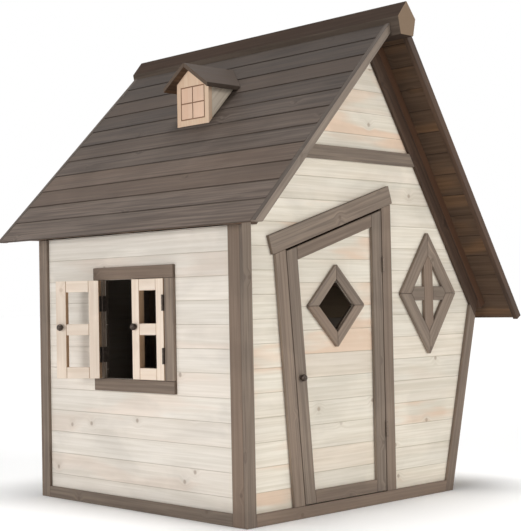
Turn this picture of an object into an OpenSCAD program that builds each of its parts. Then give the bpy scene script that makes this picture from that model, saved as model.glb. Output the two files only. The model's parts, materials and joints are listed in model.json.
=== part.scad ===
// Crooked timber playhouse: plank walls of which the right one leans outward, an uneven pitched roof
// with a small dormer, a slanted door with a diamond light, and a window with a pair of shutters.

/* [House] */
// Width of the front wall along the ground
house_w = 963; // [900:1:1050]
// Depth of the house over its front and back walls
house_d = 1020; // [960:1:1200]
// Height of the left wall at its outer face
left_wall_h = 876; // [850:1:920]
// Height of the leaning right wall at its outer face
right_wall_h = 645; // [600:1:700]
// Outward lean of the right wall in degrees
wall_lean = 14.4; // [10:0.1:18]
// Width of the corner posts
post_w = 39; // [30:1:60]
// Width of the back posts of the side walls behind the back wall planks
back_post_w = 24; // [20:1:45]
// Height of the bottom rails
rail_h = 37; // [25:1:50]
// Thickness of the posts, rails and other trims
trim_t = 11; // [9:0.5:14]
// Width of the trims under the roof slopes
gable_trim_w = 45; // [30:1:60]
// Height of the gable belt above the top of the lintel
belt_above = 69; // [40:1:100]
// Height of the gable belt board
belt_h = 43; // [30:1:55]
// Side of the square battens inside the walls
batten = 30; // [20:1:40]
// Open joint where two bars of a frame meet
joint = 0.4; // [0.2:0.1:1]
// Clearance between sloped faces that bear on each other
seat = 0.2; // [0.1:0.1:0.5]

/* [Planks] */
// Thickness of the wall planks
plank_t = 11; // [9:0.5:14]
// Height that one plank covers
plank_cover = 72; // [60:1:90]
// Open joint between planks
plank_gap = 0.8; // [0.4:0.1:2]
// Height of the lowest joint on the front and back walls
front_joint = 24; // [10:1:60]
// Height of the lowest joint on the side walls
side_joint = 10; // [5:1:60]

/* [Roof] */
// Pitch of the left slope in degrees
left_pitch = 46.6; // [45:0.1:48]
// Pitch of the right slope in degrees
right_pitch = 57.9; // [56:0.1:60]
// Reach of the left eave past the left wall
left_eave_out = 62; // [40:1:80]
// Reach of the right eave past the top of the right wall
right_eave_out = 89; // [60:1:110]
// Reach of the roof past the front wall
roof_front = 117; // [80:1:150]
// Reach of the roof past the back wall
roof_back = 132; // [100:1:150]
// Further reach of the left slope at the back end of its eave
back_flare = 36; // [10:1:45]
// Thickness of a roof board at its lower edge
board_t = 14; // [11:0.5:18]
// Thickness of a roof board at its upper edge
board_thin = 11.5; // [6:0.5:12]
// Length along the slope of the board at the eave
eave_board = 97; // [80:1:120]
// Length along the slope of each further board
board_pitch = 79.5; // [70:0.5:95]
// Open joint between roof boards
board_gap = 0.8; // [0.4:0.1:2]
// Depth of the rafters below the boards
rafter_t = 30; // [25:1:40]
// Width of a rafter
rafter_w = 40; // [30:1:60]
// Distance of the right rafter feet from the eave
rafter_back = 60; // [40:1:90]
// Depth of the barge strips on the roof edges
barge_h = 25; // [20:1:40]
// Thickness of the barge strips
barge_t = 18; // [12:1:25]

/* [Ridge beam] */
// Width of the beam across its shoulders
beam_top_w = 86; // [80:1:96]
// Width of the beam at its underside
beam_low_w = 62; // [58:1:70]
// Height of the beam sides
beam_side_h = 56; // [50:1:65]
// Height of the pointed top above the shoulders
beam_point_h = 53; // [40:1:60]
// Shift of the beam from the crossing of the two roof planes
beam_shift = 14; // [10:1:22]
// Depth of the beam seat below the peak of the wall
beam_seat = 27; // [22:1:32]
// Reach of the beam past the front wall
beam_front = 153; // [140:1:200]
// Reach of the beam past the back wall
beam_back = 144; // [130:1:200]

/* [Door] */
// Distance of the hinge side of the doorway from the left wall
door_right = 622; // [600:1:640]
// Distance of the latch side of the doorway from the left wall at the rail
door_foot = 242; // [230:1:260]
// Lean of the latch side in degrees
door_lean = 4.6; // [3:0.1:6]
// Height of the latch side of the doorway
door_left_h = 805; // [780:1:830]
// Slope of the lintel in degrees
lintel_slope = 17.5; // [14:0.1:19]
// Gap at the foot and the latch side of the door leaf
door_gap = 2.5; // [2:0.1:4]
// Clearance under the sloped head as the door leaf swings
swing_clear = 1; // [0.8:0.1:3]
// Width of the door jambs
jamb_w = 45; // [35:1:55]
// Height of the lintel
lintel_h = 59; // [45:1:70]
// Reach of the lintel past the jambs
lintel_out = 10; // [5:1:20]
// Width of the door stiles
door_stile_w = 46; // [40:1:55]
// Width of the door rails
door_rail_w = 39; // [30:1:50]
// Height of the lower door hinge
door_hinge_low = 236; // [180:1:300]
// Height of the upper door hinge
door_hinge_high = 762; // [700:1:820]
// Height of the door knobs
door_knob_z = 420; // [380:1:480]

/* [Diamonds] */
// Distance of the door diamond from the left wall
light_x = 402; // [390:1:420]
// Height of the centre of the door diamond
light_z = 634; // [610:1:650]
// Half the diagonal of the door diamond opening
light_half = 82; // [74:1:95]
// Width of the bars round the door diamond
light_bar = 34; // [25:1:40]
// Distance of the wall diamond from the left wall
lattice_x = 857; // [850:1:865]
// Height of the centre of the wall diamond
lattice_z = 668; // [650:1:690]
// Half the width of the wall diamond
lattice_half_w = 147; // [130:1:152]
// Half the height of the wall diamond
lattice_half_h = 206; // [190:1:230]
// Width of the bars round the wall diamond
lattice_bar = 46; // [35:1:50]
// Width of the cross bars in the wall diamond
lattice_cross = 46; // [35:1:50]

/* [Window] */
// Distance of the window opening from the front
window_y = 353.5; // [330:0.5:370]
// Width of the window opening
window_w = 307; // [300:1:320]
// Height of the window sill
window_z = 412.5; // [400:0.5:430]
// Height of the window opening
window_h = 318; // [300:1:330]
// Width of the upright casing board nearer to the front
casing_near = 44; // [35:1:60]
// Width of the upright casing board nearer to the back
casing_far = 52; // [35:1:60]
// Height of the casing boards at sill and head
casing_cross = 40; // [30:1:50]

/* [Shutters] */
// Gap between the two shutters
shutter_gap = 3; // [2.8:0.1:4]
// Gap above and below a shutter
shutter_end_gap = 1.5; // [1:0.1:3]
// Thickness of a shutter
shutter_t = 22; // [18:0.5:23]
// Width of the shutter stiles
shutter_stile = 35; // [28:1:42]
// Height of the shutter rails
shutter_rail = 36; // [30:1:45]
// Distance of the shutter hinges from the middle of the window
shutter_hinge_z = 82; // [60:1:110]
// Angle at which the left shutter stands open
left_open = 149; // [100:1:165]
// Angle at which the right shutter stands open
right_open = 2; // [0:1:165]
// Distance of a shutter knob from the free edge
shutter_knob_edge = 17; // [14:1:20]
// Height of a shutter knob above the middle of the shutter
shutter_knob_up = 8; // [0:1:10]

/* [Hinges and knobs] */
// Height of a hinge
hinge_h = 50; // [40:1:60]
// Length of a hinge leaf along the edge
hinge_leaf = 18; // [14:1:20]
// Thickness of a hinge leaf
hinge_t = 1.2; // [0.8:0.1:1.3]
// Gap between leaf edge and frame at the hinges
hinge_gap = 3; // [2.8:0.1:4]
// Radius of a hinge knuckle
knuckle_r = 3.8; // [3.2:0.1:4.2]
// Radius of a hinge pin
pin_r = 2; // [1.5:0.1:2.2]
// Running clearance of a pin in its knuckle
pin_clear = 0.05; // [0.03:0.01:0.1]
// End gap between knuckles
knuckle_gap = 0.4; // [0.3:0.1:0.8]
// Distance of the pin axis in front of the wall face
pin_out = 4.5; // [4.4:0.1:5]
// Radius of the knobs
knob_r = 11; // [8:0.5:12]
// Reach of the knobs
knob_reach = 20; // [16:0.5:22]
// Radius of the knob stems
knob_stem_r = 7; // [4:0.5:8]

/* [Dormer] */
// Distance of the dormer front from the left wall
dormer_x = 288; // [260:1:310]
// Distance of the dormer ridge from the front
dormer_y = 540; // [400:1:640]
// Width of the dormer front
dormer_w = 159; // [140:1:170]
// Shift of the dormer front from its ridge towards the front of the house
dormer_skew = 10; // [0:1:14]
// Height of the dormer ridge above the foot of its front
dormer_h = 210; // [205:1:225]
// Pitch of the dormer roof in degrees
dormer_pitch = 35; // [32:1:38]
// Thickness of the dormer front and cheeks
dormer_t = 15; // [10:1:20]
// Thickness of the dormer roof boards
dormer_board_t = 13; // [8:1:15]
// Half the width that the dormer roof spans
dormer_span = 111; // [100:1:118]
// Reach of the dormer roof past its front
dormer_out = 30; // [10:1:35]
// Width of a pane engraved in the dormer front
pane_w = 58; // [50:1:62]
// Height of a pane engraved in the dormer front
pane_h = 54; // [46:1:56]
// Height of the engraved panes above the foot of the front
pane_up = 22; // [18:1:26]
// Width of an engraved line
groove_w = 4; // [2:0.5:6]
// Depth of an engraved line
groove_d = 2; // [1:0.5:4]

/* [Hidden] */

$fn = 48;
whitewash = "#e6dcc9";
taupe = "#7d6c62";
roof_brown = "#695f58";
soffit_brown = "#5a4038";
beam_brown = "#4c4542";
bare_wood = "#b89a78";
peach = "#ead3bd";
dark_metal = "#2b2724";

wall_t = plank_t + trim_t;
roof_t = board_t + rafter_t;
// Longer than the house in every direction
far = house_w + house_d + left_wall_h;
everywhere = [[-far, -far], [far, -far], [far, far], [-far, far]];

// A line is a point and a direction, and keeps what lies on its left
function side(p, line) = cross(line[1], p - line[0]);
function flip(line) = [line[0], -line[1]];
function moved(line, d) = [line[0] + d * [-line[1][1], line[1][0]] / norm(line[1]), line[1]];
function meet(a, b) = a[0] + a[1] * cross(b[0] - a[0], b[1]) / cross(a[1], b[1]);
function level(z) = [[0, z], [1, 0]];
function upright(u) = [[u, 0], [0, -1]];

// Part of a convex outline on the left of one line, and of every line in a list
function clip(points, line) = [
    for (i = [0 : 1 : len(points) - 1])
        let (a = points[i], b = points[(i + 1) % len(points)], da = side(a, line), db = side(b, line))
            each concat(da >= 0 ? [a] : [], da * db < 0 ? [a + (b - a) * da / (da - db)] : [])
];
function clip_all(points, lines, i = 0) =
    i < len(lines) ? clip_all(clip(points, lines[i]), lines, i + 1) : points;
function between(lines) = clip_all(everywhere, lines);
function rect(u0, v0, u1, v1) = [[u0, v0], [u1, v0], [u1, v1], [u0, v1]];

// Outline of the gable walls, seen from the front
ground = level(0);
left_face = upright(0);
right_face = [[house_w, 0], [sin(wall_lean), cos(wall_lean)]];
right_top = [house_w + right_wall_h * tan(wall_lean), right_wall_h];
left_along = [cos(left_pitch), sin(left_pitch)];
left_in = [sin(left_pitch), -cos(left_pitch)];
right_along = [-cos(right_pitch), sin(right_pitch)];
right_in = [-sin(right_pitch), -cos(right_pitch)];
// Plane of each roof slope at a depth below its outer surface
function left_roof(depth) = [[0, left_wall_h] + left_in * (depth - roof_t), -left_along];
function right_roof(depth) = [right_top + right_in * (depth - roof_t), right_along];
left_eave = meet(left_roof(0), upright(-left_eave_out));
right_eave = meet(right_roof(0), upright(right_top[0] + right_eave_out));
function left_point(s, depth) = left_eave + s * left_along + depth * left_in;
function right_point(s, depth) = right_eave + s * right_along + depth * right_in;

beam_x = meet(left_roof(0), right_roof(0))[0] - beam_shift;
beam_z = meet(left_roof(roof_t), right_roof(roof_t))[1] - beam_seat;
beam_taper = (beam_top_w - beam_low_w) / 2;
beam_left = [[beam_x - beam_low_w / 2, beam_z], [-beam_taper, beam_side_h]];
beam_right = [[beam_x + beam_low_w / 2, beam_z], [-beam_taper, -beam_side_h]];
gable_lines = [
    ground, left_face, right_face, left_roof(roof_t), right_roof(roof_t), flip(level(beam_z))
];
left_post_line = upright(post_w);
right_post_line = moved(right_face, post_w);
peak_line = upright(meet(left_roof(roof_t), right_roof(roof_t))[0]);

// Doorway, with the opening on the left of each line
door_sill = level(rail_h);
door_hinge_side = flip(upright(door_right));
door_latch_side = [[door_foot, rail_h], [sin(door_lean), -cos(door_lean)]];
latch_corner = meet(door_latch_side, level(door_left_h));
door_head = [latch_corner, [-cos(lintel_slope), -sin(lintel_slope)]];
hinge_corner = meet(door_hinge_side, door_head);
lintel_foot = meet(moved(door_hinge_side, -jamb_w - lintel_out), door_head);
belt_z = lintel_foot[1] + lintel_h * cos(lintel_slope) + belt_above;
leaf_hinge_side = moved(door_hinge_side, hinge_gap);
leaf_latch_side = moved(door_latch_side, door_gap);
leaf_foot = moved(door_sill, door_gap);
// As the leaf swings, its top moves by its depth behind the pin towards the lower end of the head
leaf_head = moved(door_head, swing_clear + (pin_out + trim_t) * sin(lintel_slope));
leaf_plank_head = moved(door_head, swing_clear + (pin_out + wall_t) * sin(lintel_slope));
leaf_lines = [leaf_foot, leaf_hinge_side, leaf_head, leaf_latch_side];
leaf_inner = [
    moved(leaf_foot, door_rail_w), moved(leaf_hinge_side, door_stile_w),
    moved(leaf_head, door_rail_w), moved(leaf_latch_side, door_stile_w)
];
door_knob_x = meet(moved(leaf_latch_side, door_stile_w / 2), level(door_knob_z))[0];
door_pin = [door_right - hinge_gap / 2, -pin_out];

// Window and shutters
window_far = window_y + window_w;
window_top = window_z + window_h;
shutter_w = (window_w - 2 * hinge_gap - shutter_gap) / 2;
shutter_h = window_h - 2 * shutter_end_gap;
shutter_z = window_z + shutter_end_gap;
shutter_mid = shutter_z + shutter_h / 2;
shutter_hinges = [shutter_mid - shutter_hinge_z, shutter_mid + shutter_hinge_z];
near_pin = [-pin_out, window_y + hinge_gap / 2];
far_pin = [-pin_out, window_far - hinge_gap / 2];
shutter_knob_y = hinge_gap / 2 + shutter_w - shutter_knob_edge;

// Dormer, with its outline seen along the ridge of the house
dormer_foot = meet(left_roof(0), upright(dormer_x))[1];
dormer_peak = [dormer_y, dormer_foot + dormer_h];
dormer_far = [dormer_peak, [-cos(dormer_pitch), sin(dormer_pitch)]];
dormer_near = [dormer_peak, [-cos(dormer_pitch), -sin(dormer_pitch)]];
dormer_mid = dormer_y - dormer_skew;
dormer_sides = [dormer_mid - dormer_w / 2, dormer_mid + dormer_w / 2];
dormer_eaves = [dormer_y - dormer_skew / 2 - dormer_span, dormer_y - dormer_skew / 2 + dormer_span];
above_roof = between([flip(left_roof(-seat))]);

// Back edge of the left slope seen from above, from the ridge to the eave
back_edge = [[beam_x, house_d + roof_back], [left_eave[0] - beam_x, back_flare]];
back_reach = house_d + max(beam_back, roof_back + back_flare);

// The origin lies under the middle of the whole house. On the left the knob of the open shutter
// reaches furthest.
knob_centre_out = pin_out + shutter_t + knob_reach - knob_r;
knob_x = -pin_out + knob_centre_out * cos(left_open) - shutter_knob_y * sin(left_open) - knob_r;
middle = [(min(knob_x, left_eave[0]) + right_eave[0]) / 2, (back_reach - beam_front) / 2, 0];
module centred() { translate(-middle) children(); }

// Board with an outline seen from the front, or seen from the left
module along_y(points, y0, y1) {
    if (len(points) > 2)
        translate([0, y1, 0]) rotate([90, 0, 0]) linear_extrude(y1 - y0) polygon(points);
}
module along_x(points, x0, x1) {
    if (len(points) > 2)
        translate([x0, 0, 0]) rotate([90, 0, 90]) linear_extrude(x1 - x0) polygon(points);
}

// Part of a shape on the left of every line in a list, seen from above
module in_plan(lines) {
    intersection() {
        children();
        linear_extrude(far) polygon(between(lines));
    }
}

// Trims of the front and back walls
module front_trim(points, paint = taupe) { centred() color(paint) along_y(points, 0, trim_t); }
module back_trim(points, paint = taupe) {
    centred() color(paint) along_y(points, house_d - trim_t, house_d);
}
left_post = between(concat(gable_lines, [flip(left_post_line)]));
right_post = between(concat(
    gable_lines, [flip(right_post_line), right_roof(roof_t + gable_trim_w)]));
rail = between([ground, flip(level(rail_h)), left_post_line, right_post_line]);
trim_left = between(concat(gable_lines, [
    left_post_line, level(left_wall_h), flip(left_roof(roof_t + gable_trim_w)), flip(peak_line)
]));
trim_right = between(concat(gable_lines, [flip(right_roof(roof_t + gable_trim_w)), peak_line]));
belt = between([
    level(belt_z), flip(level(belt_z + belt_h)), left_roof(roof_t + gable_trim_w),
    right_roof(roof_t + gable_trim_w)
]);

// One row of planks between two heights, as a list of outlines
function gable_row(lo, hi) = clip_all(
    rect(-far, lo, far, hi),
    concat(gable_lines, [moved(left_face, trim_t), moved(right_face, trim_t)]));
function front_row(lo, hi) = let (row = gable_row(lo, hi))
    lo >= hinge_corner[1] ? [row] : concat(
        [clip(row, flip(door_hinge_side))],
        lo < latch_corner[1] ? [clip(row, flip(door_latch_side))] : [],
        hi <= latch_corner[1] ? [] : [clip_all(row, concat(
            [flip(door_head), moved(door_hinge_side, plank_gap)],
            lo < latch_corner[1] ? [moved(door_latch_side, plank_gap)] : []))]
    );
function left_row(lo, hi, y0, y1) =
    hi <= window_z || lo >= window_top ? [rect(y0, lo, y1, hi)] :
    lo < window_z ? [[
        [y0, lo], [y1, lo], [y1, hi], [window_far, hi], [window_far, window_z],
        [window_y, window_z], [window_y, hi], [y0, hi]
    ]] :
    hi > window_top ? [[
        [y0, lo], [window_y, lo], [window_y, window_top], [window_far, window_top],
        [window_far, lo], [y1, lo], [y1, hi], [y0, hi]
    ]] : [rect(y0, lo, window_y, hi), rect(window_far, lo, y1, hi)];
function row_low(first, k) = max(0, first + (k - 1) * plank_cover);
function row_high(first, k) = first + k * plank_cover - plank_gap;
function row_count(first, top) = ceil((top - first) / plank_cover);

// Front wall
module front_planks() {
    centred() color(whitewash)
        for (k = [0 : row_count(front_joint, beam_z)])
            for (piece = front_row(row_low(front_joint, k), row_high(front_joint, k)))
                along_y(piece, trim_t, wall_t);
}
module front_left_post() { front_trim(left_post); }
module front_right_post() { front_trim(right_post); }
module front_rail() { front_trim(rail); }
module gable_belt() { front_trim(belt); }
module gable_trim_left() { front_trim(trim_left, soffit_brown); }
module gable_trim_right() { front_trim(trim_right, soffit_brown); }
module door_jamb_left() {
    front_trim(between([
        door_sill, flip(door_latch_side), moved(door_latch_side, -jamb_w), door_head
    ]));
}
module door_jamb_right() {
    front_trim(between([
        door_sill, flip(door_hinge_side), moved(door_hinge_side, -jamb_w), door_head
    ]));
}
module door_lintel() {
    across = [sin(lintel_slope), -cos(lintel_slope)];
    left_end = [meet(moved(door_latch_side, -jamb_w - lintel_out), door_head), across];
    right_end = [lintel_foot, -across];
    front_trim(between([flip(door_head), moved(door_head, -lintel_h), left_end, right_end]));
}

// Diamond of four bars round a centre, which meet on its diagonals
module diamond_bars(centre, half_w, half_h, inner) {
    for (sx = [-1, 1], sz = [-1, 1])
        along_y(clip_all([
            centre + [sx * half_w, 0], centre + [0, sz * half_h],
            centre + [0, sz * half_h * inner], centre + [sx * half_w * inner, 0]
        ], [
            [centre + [sx * joint / 2, 0], [0, -sx]], [centre + [0, sz * joint / 2], [sz, 0]]
        ]), 0, trim_t);
}
// Share of a diamond that is left inside bars of a given width
function diamond_inner(half_w, half_h, bar) = 1 - bar * norm([half_w, half_h]) / (half_w * half_h);

module wall_diamond() {
    centre = [lattice_x, lattice_z];
    inner = diamond_inner(lattice_half_w, lattice_half_h, lattice_bar);
    tips = [lattice_half_w, lattice_half_h] * inner;
    opening = [
        centre + [tips[0] - joint, 0], centre + [0, tips[1] - joint],
        centre - [tips[0] - joint, 0], centre - [0, tips[1] - joint]
    ];
    bar_left = upright(lattice_x - lattice_cross / 2);
    bar_right = upright(lattice_x + lattice_cross / 2);
    cross_row = [level(lattice_z - lattice_cross / 2), flip(level(lattice_z + lattice_cross / 2))];
    centred() color(taupe) {
        diamond_bars(centre, lattice_half_w, lattice_half_h, inner);
        along_y(clip_all(opening, [bar_left, flip(bar_right)]), 0, trim_t);
        along_y(clip_all(opening, concat(cross_row, [flip(moved(bar_left, -joint))])), 0, trim_t);
        along_y(clip_all(opening, concat(cross_row, [moved(bar_right, joint)])), 0, trim_t);
    }
}

// Left wall, whose trims reach the front and back trims and whose planks stand between the walls
module left_trim(points) { centred() color(taupe) along_x(points, 0, trim_t); }
module left_planks() {
    top = left_wall_h;
    centred() color(whitewash)
        for (k = [0 : row_count(side_joint, top)])
            for (piece = left_row(row_low(side_joint, k), min(top, row_high(side_joint, k)),
                                  wall_t, house_d - wall_t))
                along_x(piece, trim_t, wall_t);
}
module left_front_post() { left_trim(rect(trim_t, 0, wall_t + post_w, left_wall_h)); }
module left_back_post() {
    left_trim(rect(house_d - wall_t - back_post_w, 0, house_d - trim_t, left_wall_h));
}
module left_rail() { left_trim(rect(wall_t + post_w, 0, house_d - wall_t - back_post_w, rail_h)); }
module window_casing() {
    y0 = window_y - casing_near;
    y1 = window_far + casing_far;
    left_trim(rect(y0, window_z - casing_cross, y1, window_z));
    left_trim(rect(y0, window_top, y1, window_top + casing_cross));
    left_trim(rect(y0, window_z + joint, window_y, window_top - joint));
    left_trim(rect(window_far, window_z + joint, y1, window_top - joint));
}

// Right wall, with its outlines seen from the front
function right_layer(n0, n1) =
    between([ground, moved(right_face, n0), flip(moved(right_face, n1)), right_roof(roof_t)]);
right_trim_layer = right_layer(0, trim_t - seat);
right_batten_layer = right_layer(wall_t + seat, wall_t + batten);
module right_trim(y0, y1) { centred() color(taupe) along_y(right_trim_layer, y0, y1); }
module right_planks() {
    layer = right_layer(trim_t, wall_t);
    centred() color(whitewash)
        for (k = [0 : row_count(side_joint, right_wall_h)])
            along_y(clip_all(layer, [
                level(row_low(side_joint, k)), flip(level(row_high(side_joint, k)))
            ]), wall_t, house_d - wall_t);
}
module right_front_post() { right_trim(trim_t, wall_t + post_w); }
module right_back_post() { right_trim(house_d - wall_t - back_post_w, house_d - trim_t); }
module right_rail() {
    centred() color(taupe) along_y(
        clip(right_trim_layer, flip(level(rail_h))), wall_t + post_w, house_d - wall_t - back_post_w);
}
module right_batten() {
    centred() color(bare_wood) along_y(
        right_batten_layer, (house_d - batten) / 2, (house_d + batten) / 2);
}

// Back wall, plain but for its trims
module back_planks() {
    centred() color(whitewash)
        for (k = [0 : row_count(front_joint, beam_z)])
            along_y(gable_row(row_low(front_joint, k), row_high(front_joint, k)),
                    house_d - wall_t, house_d - trim_t);
}
module back_left_post() { back_trim(left_post); }
module back_right_post() { back_trim(right_post); }
module back_rail() { back_trim(rail); }
module back_belt() { back_trim(belt); }
module back_trim_left() { back_trim(trim_left, soffit_brown); }
module back_trim_right() { back_trim(trim_right, soffit_brown); }
module back_batten() {
    edge = upright((house_w - batten) / 2);
    centred() color(bare_wood) along_y(
        between(concat(gable_lines, [edge, flip(moved(edge, batten))])),
        house_d - wall_t - batten, house_d - wall_t);
}

// Battens inside the corners and along the tops of the side walls
left_plate_z = left_wall_h - batten;
right_plate_z = right_wall_h - 2 * batten;
module corner_posts() {
    centred() color(bare_wood)
        for (y0 = [wall_t, house_d - wall_t - batten]) {
            along_y(rect(wall_t, 0, wall_t + batten, left_plate_z), y0, y0 + batten);
            along_y(clip(right_batten_layer, flip(level(right_plate_z))), y0, y0 + batten);
        }
}
module wall_plates() {
    centred() color(bare_wood) {
        along_y(rect(wall_t, left_plate_z, wall_t + batten, left_wall_h),
                wall_t, house_d - wall_t);
        for (y0 = [wall_t, (house_d + batten) / 2])
            along_y(clip(right_batten_layer, level(right_plate_z)),
                    y0, y0 + (house_d - batten) / 2 - wall_t);
    }
}

// Roof
module ridge_beam() {
    centred() color(beam_brown) along_y([
        [beam_x - beam_low_w / 2, beam_z], [beam_x + beam_low_w / 2, beam_z],
        [beam_x + beam_top_w / 2, beam_z + beam_side_h],
        [beam_x, beam_z + beam_side_h + beam_point_h],
        [beam_x - beam_top_w / 2, beam_z + beam_side_h]
    ], -beam_front, house_d + beam_back);
}
left_cut = [level(left_eave[1]), moved(beam_left, seat)];
right_cut = [[right_eave, -right_in], moved(beam_right, seat)];
left_length = norm(meet(left_roof(0), beam_left) - left_eave);
right_length = norm(meet(right_roof(0), beam_right) - right_eave);
function board_low(i) = i == 0 ? 0 : eave_board + (i - 1) * board_pitch;
function board_high(i) = eave_board + i * board_pitch - board_gap;
function board_last(length) = ceil((length - eave_board) / board_pitch);
module left_roof_boards() {
    centred() color(roof_brown) in_plan([moved(back_edge, barge_t)])
        for (i = [0 : board_last(left_length)])
            along_y(clip_all([
                left_point(board_low(i), 0), left_point(board_low(i), board_t),
                left_point(board_high(i), board_t), left_point(board_high(i), board_t - board_thin)
            ], left_cut), barge_t - roof_front, back_reach);
}
module right_roof_boards() {
    centred() color(roof_brown)
        for (i = [0 : board_last(right_length)])
            along_y(clip_all([
                right_point(board_low(i), board_t), right_point(board_low(i), 0),
                right_point(board_high(i), board_t - board_thin), right_point(board_high(i), board_t)
            ], right_cut), barge_t - roof_front, house_d + roof_back - barge_t);
}
rafter_rows = [0, (house_d - rafter_w) / 2, house_d - rafter_w];
module left_rafters() {
    centred() color(soffit_brown)
        for (y0 = rafter_rows)
            along_y(between(concat(
                left_cut, [left_roof(board_t + seat), flip(left_roof(roof_t - seat))])),
                    y0, y0 + rafter_w);
}
module right_rafters() {
    foot = [right_point(rafter_back, 0), -right_in];
    centred() color(soffit_brown)
        for (y0 = rafter_rows)
            along_y(between([
                right_roof(board_t + seat), flip(right_roof(roof_t - seat)), foot, right_cut[1]
            ]), y0, y0 + rafter_w);
}
module barge(lines, y0, paint = taupe) {
    centred() color(paint) along_y(between(lines), y0, y0 + barge_t);
}
left_barge = concat(left_cut, [left_roof(0), flip(left_roof(barge_h))]);
right_barge = concat(right_cut, [right_roof(0), flip(right_roof(barge_h))]);
module barge_front_left() { barge(left_barge, -roof_front); }
module barge_front_right() { barge(right_barge, -roof_front, soffit_brown); }
module barge_back_left() {
    centred() color(taupe) in_plan([back_edge, flip(moved(back_edge, barge_t - seat))])
        along_y(between(left_barge), house_d, back_reach + barge_t);
}
module barge_back_right() { barge(right_barge, house_d + roof_back - barge_t, soffit_brown); }

// Dormer, whose pieces stand on the left roof slope
module on_roof() {
    intersection() {
        children();
        along_y(above_roof, dormer_y - 2 * dormer_span, dormer_y + 2 * dormer_span);
    }
}
module dormer_front() {
    pane_z = dormer_foot + pane_up;
    outline = clip_all(
        rect(dormer_sides[0], dormer_foot, dormer_sides[1], dormer_peak[1]),
        [moved(dormer_far, dormer_board_t), moved(dormer_near, dormer_board_t)]);
    centred() color(peach) difference() {
        on_roof() along_x(outline, dormer_x, dormer_x + dormer_t);
        for (i = [-1, 0, 1])
            along_x(rect(dormer_mid + i * pane_w - groove_w / 2, pane_z,
                         dormer_mid + i * pane_w + groove_w / 2, pane_z + 2 * pane_h),
                    dormer_x - groove_d, dormer_x + groove_d);
        for (i = [0, 1, 2])
            along_x(rect(dormer_mid - pane_w - groove_w / 2, pane_z + i * pane_h - groove_w / 2,
                         dormer_mid + pane_w + groove_w / 2, pane_z + i * pane_h + groove_w / 2),
                    dormer_x - groove_d, dormer_x + groove_d);
    }
}
module dormer_cheek(slope, edge, y0) {
    top = meet(moved(slope, dormer_board_t), upright(edge))[1];
    along_y(clip_all(above_roof, [upright(dormer_x + dormer_t), flip(level(top))]), y0, y0 + dormer_t);
}
module dormer_cheeks() {
    centred() color(peach) {
        dormer_cheek(dormer_near, dormer_sides[0], dormer_sides[0]);
        dormer_cheek(dormer_far, dormer_sides[1], dormer_sides[1] - dormer_t);
    }
}
module dormer_board(lines) {
    back = meet(left_roof(0), level(dormer_peak[1]))[0];
    centred() color(roof_brown) on_roof() along_x(between(lines), dormer_x - dormer_out, back);
}
module dormer_roof_near() {
    dormer_board([
        dormer_near, flip(moved(dormer_near, dormer_board_t)), flip(upright(dormer_y)),
        upright(dormer_eaves[0])
    ]);
}
module dormer_roof_far() {
    dormer_board([
        dormer_far, flip(moved(dormer_far, dormer_board_t)), upright(dormer_y),
        flip(upright(dormer_eaves[1]))
    ]);
}

// Half of a butt hinge round a pin on the z axis: the leaf lies behind the pin, on the frame or on
// the moving edge, and the moving half holds the middle one of three knuckles
knuckle_h = (hinge_h - 2 * knuckle_gap) / 3;
knuckle_step = knuckle_h + knuckle_gap;
module hinge_half(moving) {
    plate_y = moving ? hinge_gap / 2 - hinge_t : -hinge_gap / 2;
    plate_x = knuckle_r + knuckle_gap;
    difference() {
        union() {
            translate([plate_x, plate_y, -hinge_h / 2])
                cube([pin_out + hinge_leaf - plate_x, hinge_t, hinge_h]);
            for (i = moving ? [1] : [0, 2])
                translate([0, 0, i * knuckle_step - hinge_h / 2]) {
                    cylinder(r = knuckle_r, h = knuckle_h);
                    translate([0, plate_y, 0]) cube([plate_x, hinge_t, knuckle_h]);
                }
        }
        cylinder(r = pin_r + pin_clear, h = 2 * hinge_h, center = true);
    }
}
module hinge_pin() { cylinder(r = pin_r, h = hinge_h, center = true); }

// Round knob that stands on the plane z = 0
module knob() {
    intersection() {
        translate([0, 0, knob_reach - knob_r]) sphere(r = knob_r);
        cylinder(r = 2 * knob_r, h = knob_reach);
    }
    cylinder(r = knob_stem_r, h = knob_reach - knob_r);
}

// Door, shut at rest
leaf = between(leaf_lines);
module door_part(points, y0, y1) { centred() along_y(points, y0, y1); }
module door_frame() {
    color(taupe) {
        door_part(clip(leaf, flip(leaf_inner[1])), 0, trim_t);
        door_part(clip(leaf, flip(leaf_inner[3])), 0, trim_t);
        for (i = [0, 2])
            door_part(clip_all(leaf, [
                flip(leaf_inner[i]), moved(leaf_inner[1], joint), moved(leaf_inner[3], joint)
            ]), 0, trim_t);
    }
}
// Edge of the diamond light that faces left or right and up or down
function light_edge(sx, up) = [[light_x + sx * light_half, light_z], [up, -sx]];
function light_side(sx) = sx < 0 ? flip(upright(light_x)) : upright(light_x);
function leaf_row(k) = let (lo = light_z + k * plank_cover, hi = lo + plank_cover - plank_gap)
    clip_all(leaf, [leaf_plank_head, level(lo), flip(level(hi))]);
module door_planks() {
    beside = ceil(light_half / plank_cover);
    first = floor((rail_h - light_z) / plank_cover);
    last = ceil((hinge_corner[1] - light_z) / plank_cover);
    color(whitewash)
        for (k = [first : last])
            if (k >= -beside && k < beside)
                for (sx = [-1, 1])
                    door_part(clip_all(leaf_row(k), [light_side(sx), light_edge(sx, k < 0 ? -1 : 1)]),
                              trim_t, wall_t);
            else
                door_part(leaf_row(k), trim_t, wall_t);
}
module door_diamond() {
    outer = light_half + light_bar * sqrt(2);
    centred() color(taupe)
        diamond_bars([light_x, light_z], outer, outer, light_half / outer);
}
module door_knobs() {
    centred() color(dark_metal) {
        translate([door_knob_x, 0, door_knob_z]) rotate([90, 0, 0]) knob();
        translate([door_knob_x, wall_t, door_knob_z]) rotate([-90, 0, 0]) knob();
    }
}
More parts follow.
